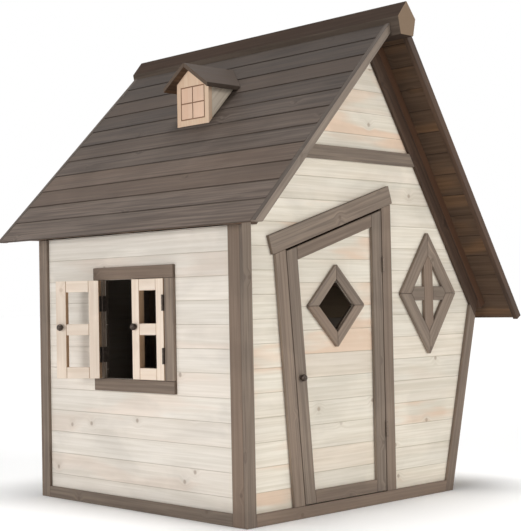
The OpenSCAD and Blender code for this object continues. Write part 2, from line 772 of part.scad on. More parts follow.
module at_door_hinges() {
    centred()
        for (z = [door_hinge_low, door_hinge_high])
            translate([door_pin[0], door_pin[1], z]) rotate([0, 0, 90]) children();
}
module door_hinge_leaves() { color(dark_metal) at_door_hinges() hinge_half(true); }
module door_hinge_plates() { color(dark_metal) at_door_hinges() hinge_half(false); }
module door_hinge_pins() { color(dark_metal) at_door_hinges() hinge_pin(); }

// Shutters, drawn shut with the pin on the z axis and then swung open
module left_pose(angle) {
    centred() translate([far_pin[0], far_pin[1], 0]) mirror([0, 1, 0]) rotate([0, 0, angle]) children();
}
module right_pose(angle) {
    centred() translate([near_pin[0], near_pin[1], 0]) rotate([0, 0, angle]) children();
}
module shutter_frame() {
    for (y = [0, shutter_w - shutter_stile])
        translate([pin_out, hinge_gap / 2 + y, shutter_z]) cube([shutter_t, shutter_stile, shutter_h]);
    for (i = [0, 1, 2])
        translate([
            pin_out, hinge_gap / 2 + shutter_stile + joint, shutter_z + i * (shutter_h - shutter_rail) / 2
        ])
            cube([shutter_t, shutter_w - 2 * shutter_stile - 2 * joint, shutter_rail]);
}
module shutter_knobs() {
    for (outside = [true, false])
        translate([pin_out + (outside ? 0 : shutter_t), shutter_knob_y, shutter_mid + shutter_knob_up])
            rotate([0, outside ? -90 : 90, 0]) knob();
}
module at_shutter_hinges() {
    for (z = shutter_hinges) translate([0, 0, z]) children();
}
module left_shutter() { color(peach) left_pose(left_open) shutter_frame(); }
module right_shutter() { color(peach) right_pose(right_open) shutter_frame(); }
module left_shutter_knobs() { color(dark_metal) left_pose(left_open) shutter_knobs(); }
module right_shutter_knobs() { color(dark_metal) right_pose(right_open) shutter_knobs(); }
module left_shutter_leaves() {
    color(dark_metal) left_pose(left_open) at_shutter_hinges() hinge_half(true);
}
module right_shutter_leaves() {
    color(dark_metal) right_pose(right_open) at_shutter_hinges() hinge_half(true);
}
module window_hinge_plates() {
    color(dark_metal) {
        left_pose(0) at_shutter_hinges() hinge_half(false);
        right_pose(0) at_shutter_hinges() hinge_half(false);
    }
}
module window_hinge_pins() {
    color(dark_metal) {
        left_pose(0) at_shutter_hinges() hinge_pin();
        right_pose(0) at_shutter_hinges() hinge_pin();
    }
}

front_planks();
front_left_post();
front_right_post();
front_rail();
gable_belt();
gable_trim_left();
gable_trim_right();
door_jamb_left();
door_jamb_right();
door_lintel();
wall_diamond();
left_planks();
left_front_post();
left_back_post();
left_rail();
window_casing();
right_planks();
right_front_post();
right_back_post();
right_rail();
right_batten();
back_planks();
back_left_post();
back_right_post();
back_rail();
back_belt();
back_trim_left();
back_trim_right();
back_batten();
corner_posts();
wall_plates();
ridge_beam();
left_roof_boards();
right_roof_boards();
left_rafters();
right_rafters();
barge_front_left();
barge_front_right();
barge_back_left();
barge_back_right();
dormer_front();
dormer_cheeks();
dormer_roof_near();
dormer_roof_far();
door_frame();
door_planks();
door_diamond();
door_knobs();
door_hinge_leaves();
door_hinge_plates();
door_hinge_pins();
left_shutter();
left_shutter_knobs();
left_shutter_leaves();
right_shutter();
right_shutter_knobs();
right_shutter_leaves();
window_hinge_plates();
window_hinge_pins();
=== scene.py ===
"""Looks of a crooked timber playhouse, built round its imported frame."""

import json
import logging
import math
from dataclasses import dataclass, field
from enum import Enum
from typing import ClassVar, Iterable

import bpy
import numpy as np
from bpy.types import ID, Material, Mesh, Node, NodeTree, Object, World
from bpy.types import NodeSocket as Socket
from mathutils import Matrix, Vector

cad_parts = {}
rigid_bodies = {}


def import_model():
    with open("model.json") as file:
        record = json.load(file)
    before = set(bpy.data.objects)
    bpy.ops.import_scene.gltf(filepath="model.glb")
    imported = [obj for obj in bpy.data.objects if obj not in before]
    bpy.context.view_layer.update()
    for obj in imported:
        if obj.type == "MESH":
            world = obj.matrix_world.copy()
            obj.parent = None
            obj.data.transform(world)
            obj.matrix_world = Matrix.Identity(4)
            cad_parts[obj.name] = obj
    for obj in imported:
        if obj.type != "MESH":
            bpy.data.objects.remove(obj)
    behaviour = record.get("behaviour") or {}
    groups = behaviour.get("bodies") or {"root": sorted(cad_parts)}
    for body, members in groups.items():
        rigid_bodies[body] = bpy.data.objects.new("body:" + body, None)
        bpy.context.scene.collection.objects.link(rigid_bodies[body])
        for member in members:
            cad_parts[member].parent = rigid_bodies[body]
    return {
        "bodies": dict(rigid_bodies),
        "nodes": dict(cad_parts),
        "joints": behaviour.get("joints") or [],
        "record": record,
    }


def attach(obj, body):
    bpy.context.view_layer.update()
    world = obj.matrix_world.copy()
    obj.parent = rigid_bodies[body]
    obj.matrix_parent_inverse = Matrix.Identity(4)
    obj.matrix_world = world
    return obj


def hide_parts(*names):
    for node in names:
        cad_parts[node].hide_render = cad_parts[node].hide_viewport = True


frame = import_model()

logging.basicConfig(level=logging.INFO, format="%(message)s")
log = logging.getLogger("playhouse")

Array = np.ndarray
Colour = tuple[float, float, float]
Triple = tuple[float, float, float]
Span = tuple[float, float]
PLACE_DECIMALS = 6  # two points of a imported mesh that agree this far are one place
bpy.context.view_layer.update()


def srgb(code: int) -> Colour:
    """Returns the linear colour of a display colour 0xRRGGBB, by the standard sRGB curve."""
    shown = np.array(list(code.to_bytes(3, "big"))) / 255.0
    linear = np.where(shown <= 0.04045, shown / 12.92, ((shown + 0.055) / 1.055) ** 2.4)
    return tuple(float(c) for c in linear)


# Shader building


class Shader:
    """Short hand for adding nodes and links to one node tree."""

    MIX_INPUTS = (0, 6, 7)  # the share and the two colours of a colour mix
    MIX_OUTPUT = 2

    def __init__(self, tree: NodeTree) -> None:
        """Empties the tree of a material or a group to start with."""
        self.tree = tree
        tree.nodes.clear()

    def node(self, kind: str, **inputs: object) -> Node:
        """Returns a new node whose class name is kind, after any ShaderNode, and fills it."""
        made = self.tree.nodes.new(kind if kind.startswith("Node") else f"ShaderNode{kind}")
        return self.fill(made, **inputs)

    def fill(self, node: Node, **inputs: object) -> Node:
        """Feeds inputs of a node by name, with _ for a space, and returns the node."""
        for name, value in inputs.items():
            self.feed(node.inputs[name.replace("_", " ")], value)
        return node

    def feed(self, socket: Socket, value: object) -> None:
        """Links a socket to another, or sets its value, which may be a colour or its code."""
        if isinstance(value, Socket):
            self.tree.links.new(value, socket)
        elif socket.type == "RGBA":
            socket.default_value = (*(srgb(value) if isinstance(value, int) else value), 1.0)
        else:
            socket.default_value = value

    def operate(self, kind: str, operation: str, values: Iterable[object]) -> Socket:
        """Returns the result of a Math or VectorMath node on the values or sockets in turn."""
        made = self.node(kind)
        made.operation = operation
        for socket, value in zip(made.inputs, values):
            self.feed(socket, value)
        return made.outputs[0]

    def maths(self, operation: str, first: object, second: object = 0.0) -> Socket:
        """Returns the result of a maths node on two values or sockets."""
        return self.operate("Math", operation, (first, second))

    def times(self, first: object, second: object) -> Socket:
        """Returns the product of two values or sockets."""
        return self.maths("MULTIPLY", first, second)

    def stretched(self, vector: Socket, factors: Triple) -> Socket:
        """Returns a vector with each part scaled by its own factor."""
        return self.operate("VectorMath", "MULTIPLY", (vector, factors))

    def ramp(self, value: object, low: float, high: float, start: float = 0.0,
             end: float = 1.0) -> Socket:
        """Returns value carried smoothly from the range low to high to the range start to end."""
        made = self.node("MapRange")
        made.interpolation_type = "SMOOTHSTEP"
        for socket, amount in zip(made.inputs, (value, low, high, start, end)):
            self.feed(socket, amount)
        return made.outputs[0]

    def mix(self, share: object, first: object, second: object, blend: str = "MIX") -> Socket:
        """Returns the colour that mixes two colours by a share."""
        made = self.node("Mix")
        made.data_type = "RGBA"
        made.blend_type = blend
        for number, value in zip(self.MIX_INPUTS, (share, first, second)):
            self.feed(made.inputs[number], value)
        return made.outputs[self.MIX_OUTPUT]

    def attribute(self, name: str, output: str = "Fac") -> Socket:
        """Returns an output of a node that reads a mesh attribute."""
        made = self.node("Attribute")
        made.attribute_name = name
        return made.outputs[output]

    def noise(self, vector: Socket, scale: float = 1.0, detail: float = 3.0,
              distortion: float = 0.0) -> Socket:
        """Returns the value of a noise texture on a vector."""
        made = self.node("TexNoise", Vector=vector, Scale=scale, Detail=detail,
                         Distortion=distortion)
        return made.outputs[0]

    def group(self, tree: NodeTree, **inputs: object) -> Node:
        """Returns a node of a shader group, with values or sockets by input name."""
        made = self.node("Group")
        made.node_tree = tree
        return self.fill(made, **inputs)

    def surface(self, **inputs: object) -> None:
        """Ends a material with a Principled surface that has the given inputs."""
        made = self.node("BsdfPrincipled", **inputs)
        self.node("OutputMaterial", Surface=made.outputs[0])


def new_group(name: str, given: Iterable[str],
              results: Iterable[str]) -> tuple[NodeTree, Shader, Node, Node]:
    """Makes an empty shader group with named sockets.

    Args:
        name: Name of the group.
        given: Names of its inputs, which are vectors.
        results: Names of its outputs, which are single values.

    Returns:
        The group's tree, its shader short hand, its input node and its output node.
    """
    tree = bpy.data.node_groups.new(name, "ShaderNodeTree")
    for label in given:
        tree.interface.new_socket(label, in_out="INPUT", socket_type="NodeSocketVector")
    for label in results:
        tree.interface.new_socket(label, in_out="OUTPUT", socket_type="NodeSocketFloat")
    shader = Shader(tree)
    return tree, shader, shader.node("NodeGroupInput"), shader.node("NodeGroupOutput")


def new_material(name: str) -> tuple[Material, Shader]:
    """Returns a new material and the short hand of its empty tree."""
    made = bpy.data.materials.new(name)
    made.use_nodes = True
    return made, Shader(made.node_tree)


@dataclass(frozen=True)
class GrainPattern:
    """Pattern of sawn timber along its grain.

    Fine streaks, broad bands and a blush in places are noise drawn out along the grain, and knots
    are the cells of a Voronoi pattern on the board's own length and width, with rings that the
    streaks swirl round. A stretch counts the noise per metre along, across and through the board,
    and an edge holds the values at which a mask starts and is full.
    """

    knot_cells: float = 5.0
    knot_chance: Span = (0.42, 0.46)
    knot_edge: Span = (0.045, 0.020)
    halo_edge: Span = (0.16, 0.03)
    ring_pitch: float = 330.0
    ring_edge: Span = (-0.2, 0.9)
    swirl: float = 0.012
    streak_stretch: Triple = (3.0, 110.0, 60.0)
    streak_edge: Span = (0.33, 0.67)
    fine_stretch: Triple = (14.0, 520.0, 240.0)
    band_stretch: Triple = (1.6, 16.0, 10.0)
    band_edge: Span = (0.35, 0.68)
    blush_stretch: Triple = (1.9, 10.0, 10.0)
    blush_edge: Span = (0.49, 0.64)
    streak_height: float = 0.6
    fine_height: float = 0.4
    knot_depth: float = 0.3

    def group(self) -> NodeTree:
        """Builds the pattern.

        Returns:
            The group, whose Grain input is a position along, across and through the board.
        """
        tree, sh, given, result = new_group(
            "timber_grain", ["Grain"], ["Streak", "Band", "Blush", "Knot", "Ring", "Height"])
        grain = given.outputs["Grain"]
        cells = sh.node("TexVoronoi", Scale=self.knot_cells, Randomness=1.0)
        cells.voronoi_dimensions = "2D"
        sh.fill(cells, Vector=grain)
        reach = cells.outputs["Distance"]
        present = sh.ramp(cells.outputs["Color"], *self.knot_chance)
        knot = sh.times(sh.ramp(reach, *self.knot_edge), present)
        halo = sh.times(sh.ramp(reach, *self.halo_edge), present)
        rings = sh.maths("SINE", sh.times(reach, self.ring_pitch))
        shift = sh.node("CombineXYZ", Y=sh.times(halo, self.swirl))
        bent = sh.operate("VectorMath", "ADD", (grain, shift.outputs[0]))
        streak = sh.noise(sh.stretched(bent, self.streak_stretch), detail=5.0, distortion=0.4)
        fine = sh.noise(sh.stretched(bent, self.fine_stretch))
        band = sh.noise(sh.stretched(bent, self.band_stretch), distortion=0.8)
        blush = sh.noise(sh.stretched(bent, self.blush_stretch), distortion=0.25)
        height = sh.maths("ADD", sh.times(streak, self.streak_height),
                          sh.times(fine, self.fine_height))
        sh.fill(
            result,
            Streak=sh.ramp(streak, *self.streak_edge),
            Band=sh.ramp(band, *self.band_edge),
            Blush=sh.ramp(blush, *self.blush_edge),
            Knot=knot,
            Ring=sh.times(sh.ramp(rings, *self.ring_edge), halo),
            Height=sh.maths("SUBTRACT", height, sh.times(knot, self.knot_depth)),
        )
        return tree


@dataclass(frozen=True)
class WeatherPattern:
    """Soft blotches, dirt and fading that lie over a whole wall or roof.

    Dirt gathers towards the ground, and a roof fades from its ridge to its eaves, both between two
    heights in metres and along a wavy line.
    """

    blotch_stretch: Triple = (3.0, 3.0, 6.0)
    blotch_edge: Span = (0.36, 0.66)
    wave_scale: float = 9.0
    wave_height: float = 0.08
    dirt_heights: Span = (0.16, 0.02)
    fading_heights: Span = (1.60, 0.85)

    def group(self) -> NodeTree:
        """Returns the group, with one mask each for blotches, dirt and fading."""
        tree, sh, _, result = new_group("weathering", [], ["Blotch", "Ground", "Fading"])
        place = sh.node("TexCoord").outputs["Object"]
        blotch = sh.noise(sh.stretched(place, self.blotch_stretch), detail=4.0, distortion=0.5)
        height = sh.node("SeparateXYZ", Vector=place).outputs["Z"]
        wave = sh.times(sh.noise(place, self.wave_scale), self.wave_height)
        uneven = sh.maths("ADD", height, wave)
        sh.fill(
            result,
            Blotch=sh.ramp(blotch, *self.blotch_edge),
            Ground=sh.ramp(uneven, *self.dirt_heights),
            Fading=sh.ramp(uneven, *self.fading_heights),
        )
        return tree


@dataclass(frozen=True)
class Groups:
    """Shader groups that the finishes share."""

    grain: NodeTree
    weather: NodeTree


@dataclass(frozen=True)
class TimberFinish:
    """Stain or wash on sawn timber.

    The codes are the display colours of light and dark streaks, warmer patches, knots, board edges,
    end grain, and the side that faces away from the weather and its own patches. On the shutters
    that side's colour is painted shade on the shaded sides of the bars, and on the whitewash the
    dark end grain is partly painted shade in the window's jamb. The numbers that all finishes share
    come last. Each hash turns a board's tone into another random number, for its shade and for
    whether it has a blush.
    """

    slot: str
    light: int
    dark: int
    warm: int
    knot: int
    edge: int
    end: int
    under: int
    name: str | None = None
    under_warm: int | None = None
    warm_share: float = 0.5
    blush_share: float = 0.0
    knot_share: float = 0.7
    edge_share: float = 0.5
    tone_spread: float = 0.16
    fading: float = 0.0
    roughness: float = 0.62
    gloss: float = 0.3
    bump: float = 0.25

    shade_hash: ClassVar[float] = 7.31
    blush_hash: ClassVar[float] = 5.13
    warm_tones: ClassVar[Span] = (0.45, 0.95)
    blush_tones: ClassVar[Span] = (0.40, 0.70)
    band_share: ClassVar[float] = 0.35
    ring_share: ClassVar[float] = 0.35
    lighter_share: ClassVar[float] = 0.4
    blotch_levels: ClassVar[Span] = (0.92, 1.04)
    under_streak: ClassVar[float] = 0.3
    under_edge: ClassVar[float] = 0.4
    dirt_share: ClassVar[float] = 0.18
    bump_depth: ClassVar[float] = 0.0012
    rough_spread: ClassVar[Span] = (-0.06, 0.08)

    def material(self, groups: Groups) -> Material:
        """Builds the finish.

        Args:
            groups: Shader groups that the finishes share.

        Returns:
            The material.
        """
        made, sh = new_material(self.name or self.slot)
        grain = sh.group(groups.grain, Grain=sh.attribute("grain", "Vector"))
        weather = sh.group(groups.weather)
        worn = sh.times(sh.attribute("edge"), self.edge_share)
        colour = sh.mix(worn, self.face(sh, grain, weather), self.edge)
        shelter_and_shade = self.shelter_and_shade(sh, grain, colour, worn)
        colour = sh.mix(sh.attribute("under"), colour, shelter_and_shade)
        colour = sh.mix(sh.attribute("end_grain"), colour, self.end)
        dirt = sh.times(weather.outputs["Ground"], self.dirt_share)
        colour = sh.mix(dirt, colour, self.edge)
        bump = sh.node("Bump", Strength=self.bump, Distance=self.bump_depth,
                       Height=grain.outputs["Height"])
        smooth, coarse = (self.roughness + change for change in self.rough_spread)
        rough = sh.ramp(grain.outputs["Streak"], 0.0, 1.0, smooth, coarse)
        sh.surface(Base_Color=colour, Roughness=rough, Normal=bump.outputs[0],
                   Specular_IOR_Level=self.gloss)
        return made

    def face(self, sh: Shader, grain: Node, weather: Node) -> Socket:
        """Draws the side that faces the weather.

        Args:
            sh: Short hand of the material's tree.
            grain: Group node of the grain.
            weather: Group node of the weathering.

        Returns:
            The colour with its streaks, warm patches, blotches, fading and knots.
        """
        tone = sh.attribute("tone")
        warmth = sh.maths("ADD", sh.times(sh.ramp(tone, *self.warm_tones), self.warm_share),
                          sh.times(grain.outputs["Band"], self.band_share * self.warm_share))
        chosen = sh.ramp(sh.maths("FRACT", sh.times(tone, self.blush_hash)), *self.blush_tones)
        blush = sh.times(sh.times(grain.outputs["Blush"], chosen), self.blush_share)
        colour = sh.mix(grain.outputs["Streak"], self.dark, self.light)
        colour = sh.mix(sh.maths("MAXIMUM", warmth, blush), colour, self.warm)
        shade = sh.ramp(sh.maths("FRACT", sh.times(tone, self.shade_hash)), 0.0, 1.0,
                        1.0 - self.tone_spread, 1.0 + self.lighter_share * self.tone_spread)
        blotch = sh.ramp(weather.outputs["Blotch"], 0.0, 1.0, *self.blotch_levels)
        faded = sh.ramp(weather.outputs["Fading"], 0.0, 1.0, 1.0 - self.fading, 1.0 + self.fading)
        level = sh.times(sh.times(shade, blotch), faded)
        grey = sh.node("CombineColor", Red=level, Green=level, Blue=level)
        colour = sh.mix(1.0, colour, grey.outputs[0], "MULTIPLY")
        ring = sh.times(grain.outputs["Ring"], self.ring_share * self.knot_share)
        colour = sh.mix(ring, colour, self.knot)
        return sh.mix(sh.times(grain.outputs["Knot"], self.knot_share), colour, self.knot)

    def shelter_and_shade(self, sh: Shader, grain: Node, face: Socket, worn: Socket) -> Socket:
        """Draws the side that faces away from the weather, or on the shutters the painted shade.

        Args:
            sh: Short hand of the material's tree.
            grain: Group node of the grain.
            face: Colour of the weathered side, whose streaks show faintly.
            worn: Mask of the board edges, which are darker.

        Returns:
            The colour.
        """
        colour = sh.mix(grain.outputs["Blush"], self.under, self.under_warm or self.under)
        streak = sh.times(grain.outputs["Streak"], self.under_streak)
        colour = sh.mix(streak, colour, face, "MULTIPLY")
        return sh.mix(worn, colour, tuple(self.under_edge * c for c in srgb(self.under)))


@dataclass(frozen=True)
class MetalFinish:
    """Dark coated metal of hinges and knobs, with worn spots and fine grit."""

    slot: str
    coat: int
    worn: int
    name: str | None = None
    roughness: float = 0.42
    rough_spread: Span = (-0.08, 0.12)
    metallic: float = 0.6
    mottle_scale: float = 160.0
    mottle_edge: Span = (0.4, 0.7)
    grit_scale: float = 900.0
    grit: float = 0.15
    grit_depth: float = 0.0004

    def material(self, _: Groups) -> Material:
        """Returns the material, which needs none of the shared groups."""
        made, sh = new_material(self.name or self.slot)
        place = sh.node("TexCoord").outputs["Object"]
        mottle = sh.ramp(sh.noise(place, self.mottle_scale, detail=4.0), *self.mottle_edge)
        smooth, coarse = (self.roughness + change for change in self.rough_spread)
        bump = sh.node("Bump", Strength=self.grit, Distance=self.grit_depth,
                       Height=sh.noise(place, self.grit_scale))
        sh.surface(Base_Color=sh.mix(mottle, self.coat, self.worn),
                   Roughness=sh.ramp(mottle, 0.0, 1.0, smooth, coarse),
                   Normal=bump.outputs[0], Metallic=self.metallic)
        return made


# Surfaces


@dataclass
class Patch:
    """Surface of one or more solids, as whole arrays.

    Loops list the corners of all faces in turn, and counts give the corners of each face. Normals
    and the values of each attribute are held per point or per corner, as the domain says.
    """

    points: Array
    normals: Array
    loops: Array
    counts: Array
    values: dict[str, Array] = field(default_factory=dict)
    domain: str = "POINT"

    @staticmethod
    def joined(patches: list["Patch"]) -> "Patch":
        """Returns one patch that holds all the given ones, whose values are held per point."""
        starts = np.cumsum([0] + [len(p.points) for p in patches[:-1]])
        return Patch(
            np.concatenate([p.points for p in patches]),
            np.concatenate([p.normals for p in patches]),
            np.concatenate([p.loops + s for p, s in zip(patches, starts)]),
            np.concatenate([p.counts for p in patches]),
            {k: np.concatenate([p.values[k] for p in patches]) for k in patches[0].values},
        )

    def mesh(self, name: str) -> Mesh:
        """Returns a mesh of the patch, with its normals and attributes."""
        made = bpy.data.meshes.new(name)
        made.vertices.add(len(self.points))
        made.vertices.foreach_set("co", self.points.ravel())
        made.loops.add(len(self.loops))
        made.loops.foreach_set("vertex_index", self.loops.astype(np.int32))
        made.polygons.add(len(self.counts))
        starts = np.concatenate([[0], np.cumsum(self.counts)[:-1]])
        made.polygons.foreach_set("loop_start", starts.astype(np.int32))
        made.update(calc_edges=True)
        for key, value in self.values.items():
            kind, word = ("FLOAT_VECTOR", "vector") if value.ndim == 2 else ("FLOAT", "value")
            made.attributes.new(key, kind, self.domain).data.foreach_set(word, value.ravel())
        if self.domain == "POINT":
            made.normals_split_custom_set_from_vertices(self.normals)
        else:
            made.normals_split_custom_set(self.normals)
        return made


def tube(rings: int, steps: int) -> tuple[Array, Array]:
    """Returns the loops and counts of a tube with flat ends, over rings of so many steps."""
    grid = np.arange(rings * steps).reshape(rings, steps)
    on = np.roll(grid, -1, axis=1)
    quads = np.stack([grid[:-1], on[:-1], on[1:], grid[1:]], axis=-1).reshape(-1, 4)
    loops = np.concatenate([quads.ravel(), grid[0, ::-1], grid[-1]])
    return loops, np.concatenate([np.full(len(quads), 4), [steps, steps]])


def packed_arrays(mesh: Mesh) -> tuple[Array, Array]:
    """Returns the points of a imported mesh, and the three points of each of its triangles."""
    points = np.empty(len(mesh.vertices) * 3)
    mesh.vertices.foreach_get("co", points)
    corners = np.empty(len(mesh.loops), np.int64)
    mesh.loops.foreach_get("vertex_index", corners)
    return points.reshape(-1, 3), corners.reshape(-1, 3)


def welded(points: Array) -> tuple[Array, Array]:
    """Returns the separate places among the points, and the place of each point."""
    places, same = np.unique(np.round(points, PLACE_DECIMALS), axis=0, return_inverse=True)
    return places, same.ravel()


def solids(node: Object) -> list[tuple[Array, Array]]:
    """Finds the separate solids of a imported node.

    Triangles that share a corner place belong together, so the lowest label of each triangle is
    handed to its corners until no label changes.

    Args:
        node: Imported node.

    Returns:
        The corner points and the triangles of each solid.
    """
    points, corners = packed_arrays(node.data)
    places, same = welded(points)
    triangles = same[corners]
    labels = np.arange(len(places))
    while True:
        lowest = np.repeat(labels[triangles].min(axis=1), 3)
        spread = labels.copy()
        np.minimum.at(spread, triangles.ravel(), lowest)
        if np.array_equal(spread, labels):
            break
        labels = spread
    found = []
    for label in np.unique(labels):
        mine = labels == label
        number = np.cumsum(mine) - 1
        found.append((places[mine], number[triangles[mine[triangles[:, 0]]]]))
    return found


@dataclass
class Board:
    """A straight board with rounded edges, taken from one solid of a node.

    The solid is a prism along one axis, whose two ends are flat but may slope. Its outline is kept
    in order round the board, with the level of both ends as planes over the outline.

    The shared numbers are the steps of a quarter circle, the radius of corners and notches against
    that of edges and corners, the share of a side that the rounding may take, the cosines from
    which a face is end grain or sheltered (on the shutters, painted in shade), the greatest shift
    of the grain, and tolerances.
    """

    outline: Array
    ends: Array
    basis: Array
    radius: float
    grow: float

    arc: ClassVar[int] = 3
    corner_ratio: ClassVar[float] = 1.2
    notch_ratio: ClassVar[float] = -0.2
    rounded_share: ClassVar[float] = 0.4
    end_cosine: ClassVar[float] = 0.6
    under_cosine: ClassVar[float] = 0.45
    pair_decimals: ClassVar[int] = 5
    grain_shift: ClassVar[float] = 20.0
    least_area: ClassVar[float] = 1e-9
    least_loss: ClassVar[float] = 1e-3
    level_slack: ClassVar[float] = 1e-7

    @classmethod
    def of(cls, corners: Array, triangles: Array, radius: float, grow: float) -> "Board":
        """Recovers the board from its solid.

        Args:
            corners: Corner points.
            triangles: Three corners of each triangle.
            radius: Radius of the rounded edges.
            grow: Distance by which the outline is pushed outward, to close the joints.

        Returns:
            The board, drawn out along the shortest axis on which its corners pair up.
        """
        fits = []
        for turn in range(3):
            basis = np.roll(np.eye(3), turn, axis=0)
            local = corners @ basis.T
            flat, match = np.unique(np.round(local[:, :2], cls.pair_decimals), axis=0,
                                    return_inverse=True)
            if len(flat) * 2 == len(corners):
                fits.append((np.ptp(local[:, 2]), basis, local, flat, match.ravel()))
        _, basis, local, flat, match = min(fits, key=lambda fit: fit[0])
        low = np.full(len(flat), np.inf)
        np.minimum.at(low, match, local[:, 2])
        lower = local[:, 2] <= low[match] + cls.level_slack
        plane = np.column_stack([np.ones(len(local)), local[:, :2]])
        ends = [np.linalg.lstsq(plane[end], local[end, 2], rcond=None)[0]
                for end in (lower, ~lower)]
        outline = flat[cls.rim(flat, match[triangles])]
        return cls(outline, np.array(ends), basis, radius, grow)

    @classmethod
    def rim(cls, flat: Array, faces: Array) -> Array:
        """Finds the order of the corners round an outline.

        The end that looks along the axis has the triangles that turn left, and its rim has the
        edges that only one of them uses. Each step of the search for the order round the rim
        doubles the steps counted so far.

        Args:
            flat: Corners of the outline.
            faces: Three corners of each triangle of the solid.

        Returns:
            The number of each corner in turn.
        """
        count = len(flat)
        first, second = (flat[faces[:, k]] - flat[faces[:, 0]] for k in (1, 2))
        area = first[:, 0] * second[:, 1] - first[:, 1] * second[:, 0]
        faces = faces[area > cls.least_area]
        links = np.zeros((count, count), bool)
        links[faces, np.roll(faces, -1, axis=1)] = True
        after = (links & ~links.T).argmax(axis=1)
        after[0] = 0
        steps = np.minimum(np.arange(count), 1)
        for _ in range(count.bit_length()):
            steps, after = steps + steps[after], after[after]
        return np.argsort(-steps % count)

    def sides(self) -> tuple[Array, Array]:
        """Returns the sides of the outline and their lengths."""
        sides = np.roll(self.outline, -1, axis=0) - self.outline
        return sides, np.linalg.norm(sides, axis=1)

    def depth(self) -> Array:
        """Returns the distance between both ends at each corner of the outline."""
        level = np.column_stack([np.ones(len(self.outline)), self.outline]) @ self.ends.T
        return level[:, 1] - level[:, 0]

    def rounded(self) -> tuple[Array, Array, Array]:
        """Computes the board's surface, ring by ring.

        A quarter circle is carried round the outline at both ends: at turn f its ring is inset by
        radius * (1 - cos f) and stands radius * (1 - sin f) inside the end, and each corner of the
        outline is an arc whose radius shrinks with the inset. A notch's arc has a negative radius.
        The wear is the greater of sin(2 f)^2 and of cos(f)^2 times sin(pi * s)^2, where s runs from
        0 to 1 along each corner's arc.

        Returns:
            The points, the normals and the wear of the edges, as grids of rings by steps.
        """
        count = self.arc + 1
        sides, length = self.sides()
        out = np.column_stack([sides[:, 1], -sides[:, 0]]) / length[:, None]
        before = np.roll(out, 1, axis=0)
        cosine = (before * out).sum(axis=1)
        turn = np.arctan2(before[:, 0] * out[:, 1] - before[:, 1] * out[:, 0], cosine)
        loss = np.maximum(np.tan(turn / 2) + np.tan(np.roll(turn, -1) / 2), self.least_loss)
        room = self.rounded_share * min(float((length / loss).min()), float(self.depth().min()))
        corner = min(self.corner_ratio * self.radius, room)
        radius = corner / self.corner_ratio
        bend = np.repeat(np.where(turn > 0, corner, self.notch_ratio * corner), count)
        mitre = (before + out) / (1 + cosine)[:, None]
        edge = np.repeat(self.outline + self.grow * mitre, count, axis=0)
        middle = edge - bend[:, None] * np.repeat(mitre, count, axis=0)
        start = np.arctan2(before[:, 1], before[:, 0])
        share = np.linspace(0, 1, count)
        angle = (start[:, None] + turn[:, None] * share).ravel()
        around = np.column_stack([np.cos(angle), np.sin(angle)])
        f = np.linspace(0, math.pi / 2, count)
        rise = np.concatenate([f[::-1], f])
        end = np.repeat([0, 1], count)
        inset = radius * (1 - np.cos(rise))
        sink = radius * (1 - np.sin(rise)) * np.where(end == 0, 1, -1)
        flat = middle[None] + (bend[None] - inset[:, None])[:, :, None] * around[None]
        planes = self.ends[end]
        high = planes[:, :1] + (flat * planes[:, None, 1:]).sum(axis=2) + sink[:, None]
        caps = np.column_stack([-self.ends[:, 1:], np.ones(2)])
        caps *= np.array([[-1], [1]]) / np.linalg.norm(caps, axis=1, keepdims=True)
        lean = np.dstack([np.broadcast_to(around, flat.shape), np.zeros(flat.shape[:2])])
        across, upward = np.cos(rise)[:, None, None], np.sin(rise)[:, None, None]
        normal = across * lean + upward * caps[end][:, None]
        normal /= np.linalg.norm(normal, axis=2, keepdims=True)
        bends = np.tile(np.sin(math.pi * share) ** 2, len(self.outline))
        wear = np.maximum(np.sin(2 * rise)[:, None] ** 2, np.outer(np.cos(rise) ** 2, bends))
        return np.dstack([flat, high]) @ self.basis, normal @ self.basis, wear

    def grain_axes(self) -> Array:
        """Returns the directions along, across and through the board, as rows."""
        sides, length = self.sides()
        longest = np.append(sides[length.argmax()] / length.max(), 0.0)
        axis = np.array([0.0, 0.0, 1.0])
        drawn_long = self.depth().mean() > length.max()
        first, second = (axis, longest) if drawn_long else (longest, np.cross(axis, longest))
        return np.stack([first, second, np.cross(first, second)]) @ self.basis

    def patch(self, under: Triple, luck: np.random.Generator) -> Patch:
        """Marks the board's surface for its finish.

        Args:
            under: Direction of the sheltered side, or of the side painted in shade, or zeros.
            luck: Source of the tone and the shift of grain that tell boards apart.

        Returns:
            The surface with its attributes.
        """
        tone = luck.random()
        shift = luck.uniform(-self.grain_shift, self.grain_shift, 3)
        points, normals, wear = self.rounded()
        points, normals = points.reshape(-1, 3), normals.reshape(-1, 3)
        grain = self.grain_axes()
        values = {
            "grain": points @ grain.T + shift,
            "tone": np.full(len(points), tone),
            "edge": wear.ravel(),
            "end_grain": (np.abs(normals @ grain[0]) > self.end_cosine).astype(float),
            "under": (normals @ np.array(under) > self.under_cosine).astype(float),
        }
        return Patch(points, normals, *tube(*wear.shape), values)


